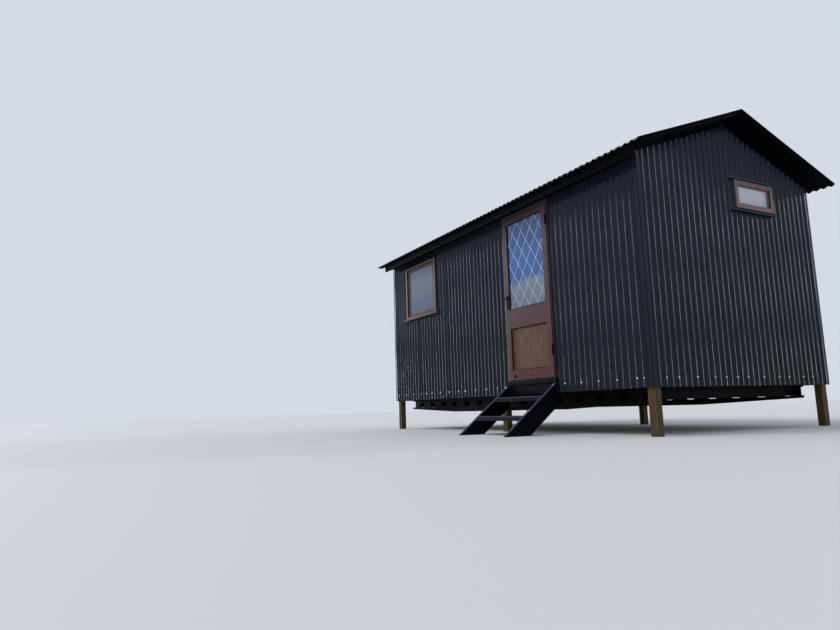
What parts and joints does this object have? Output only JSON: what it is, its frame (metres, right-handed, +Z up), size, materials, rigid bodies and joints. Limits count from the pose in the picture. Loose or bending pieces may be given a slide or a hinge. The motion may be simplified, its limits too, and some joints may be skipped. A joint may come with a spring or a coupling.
{
  "type": "shepherds hut",
  "caption": "Gabled cabin clad in corrugated steel, raised on timber posts over a steel chassis, with a glazed timber door, windows and timber steps.",
  "frame": {"origin": "middle of the overall box, at ground level", "axes": "+X along the hut's length towards the gable with the small window, -Y towards the door and steps, +Z up"},
  "size_m": [5.2568, 3.3208, 2.9997],
  "materials": {
    "chassis_steel": "satin",
    "post_timber": "matte",
    "lining_timber": "matte",
    "cladding_steel": "satin",
    "stained_timber": "matte",
    "joinery_timber": "satin",
    "panel_board": "satin",
    "clear_glass": "clear",
    "black_iron": "satin"
  },
  "bodies": {
    "hut": {"chassis_rails": "chassis_steel", "chassis_crossmembers": "chassis_steel", "posts": "post_timber", "floor_rims": "lining_timber", "floor_joists": "lining_timber", "floor_deck": "lining_timber", "front_wall_left": "lining_timber", "front_wall_right": "lining_timber", "front_wall_over_door": "lining_timber", "back_wall": "lining_timber", "left_gable_wall": "lining_timber", "right_gable_wall": "lining_timber", "rafters": "lining_timber", "ridge_board": "lining_timber", "front_cladding_left": "cladding_steel", "front_cladding_right": "cladding_steel", "back_cladding": "cladding_steel", "left_gable_cladding": "cladding_steel", "right_gable_cladding": "cladding_steel", "corner_trims": "cladding_steel", "roof_sheet_front": "cladding_steel", "roof_sheet_back": "cladding_steel", "ridge_cap": "cladding_steel", "window_flashings": "cladding_steel", "roof_deck": "stained_timber", "fascias": "stained_timber", "soffits": "stained_timber", "door_sill": "stained_timber", "kick_board": "stained_timber", "step_stringers": "stained_timber", "step_treads": "stained_timber", "door_frame": "joinery_timber", "window_frame": "joinery_timber", "window_sill": "joinery_timber", "gable_window_frame": "joinery_timber", "window_glass": "clear_glass", "gable_window_glass": "clear_glass", "frame_hinges": "black_iron"},
    "door": {"door_stiles": "joinery_timber", "door_rails": "joinery_timber", "door_glass": "clear_glass", "door_panel": "panel_board", "door_beads": "joinery_timber", "door_hinges": "black_iron", "lock_plates": "black_iron"},
    "lever": {"lever_handle": "black_iron"}
  },
  "joints": [
    {"name": "door_swing", "type": "hinge", "parent": "hut", "child": "door", "pos_m": [1.198, -1.0171, 0.559], "axis": [0, 0, 1], "range_deg": [0, 165]},
    {"name": "lever_turn", "type": "hinge", "parent": "door", "child": "lever", "pos_m": [0.485, -1.0171, 1.463], "axis": [0, 1, 0], "range_deg": [0, 40]}
  ]
}
